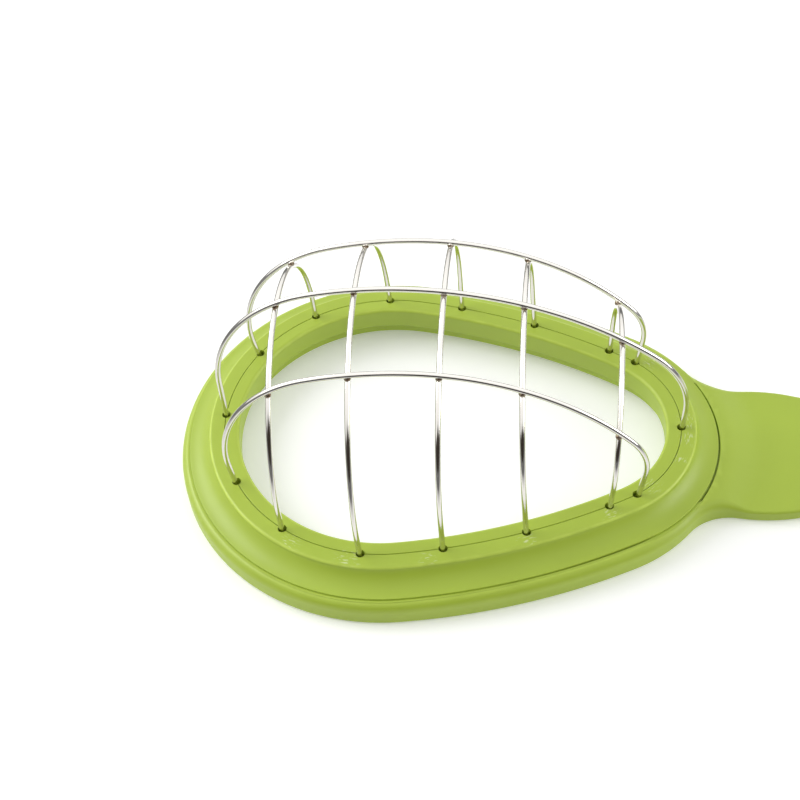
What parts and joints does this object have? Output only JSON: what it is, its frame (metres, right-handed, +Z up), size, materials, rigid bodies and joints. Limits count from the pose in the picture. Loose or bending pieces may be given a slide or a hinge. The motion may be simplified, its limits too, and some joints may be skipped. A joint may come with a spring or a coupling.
{
  "type": "wire-dome avocado cuber",
  "caption": "Egg-shaped green ring with a paddle handle and a dome of crossing steel wires that cubes and scoops half an avocado.",
  "frame": {"origin": "middle of the footprint, on the plane of the frame's underside", "axes": "+X along the tool from the ring's fat end to the handle's end, +Z up out of the wire dome, +Y across it"},
  "size_m": [0.2, 0.086, 0.0487],
  "materials": {
    "handle_frame": "satin moulded ABS, lime green",
    "outer_ring": "satin moulded ABS, lime green",
    "inner_ring": "satin moulded ABS, lime green",
    "wire": "bright drawn stainless wire",
    "weld": "dull resistance-weld metal, slightly straw-coloured"
  },
  "bodies": {
    "root": {"handle_frame": "handle_frame", "outer_ring": "outer_ring", "inner_ring": "inner_ring", "long_wire_front": "wire", "long_wire_middle": "wire", "long_wire_back": "wire", "cross_wire_1": "wire", "cross_wire_2": "wire", "cross_wire_3": "wire", "cross_wire_4": "wire", "cross_wire_5": "wire", "weld_beads_front": "weld", "weld_beads_middle": "weld", "weld_beads_back": "weld"}
  },
  "joints": []
}
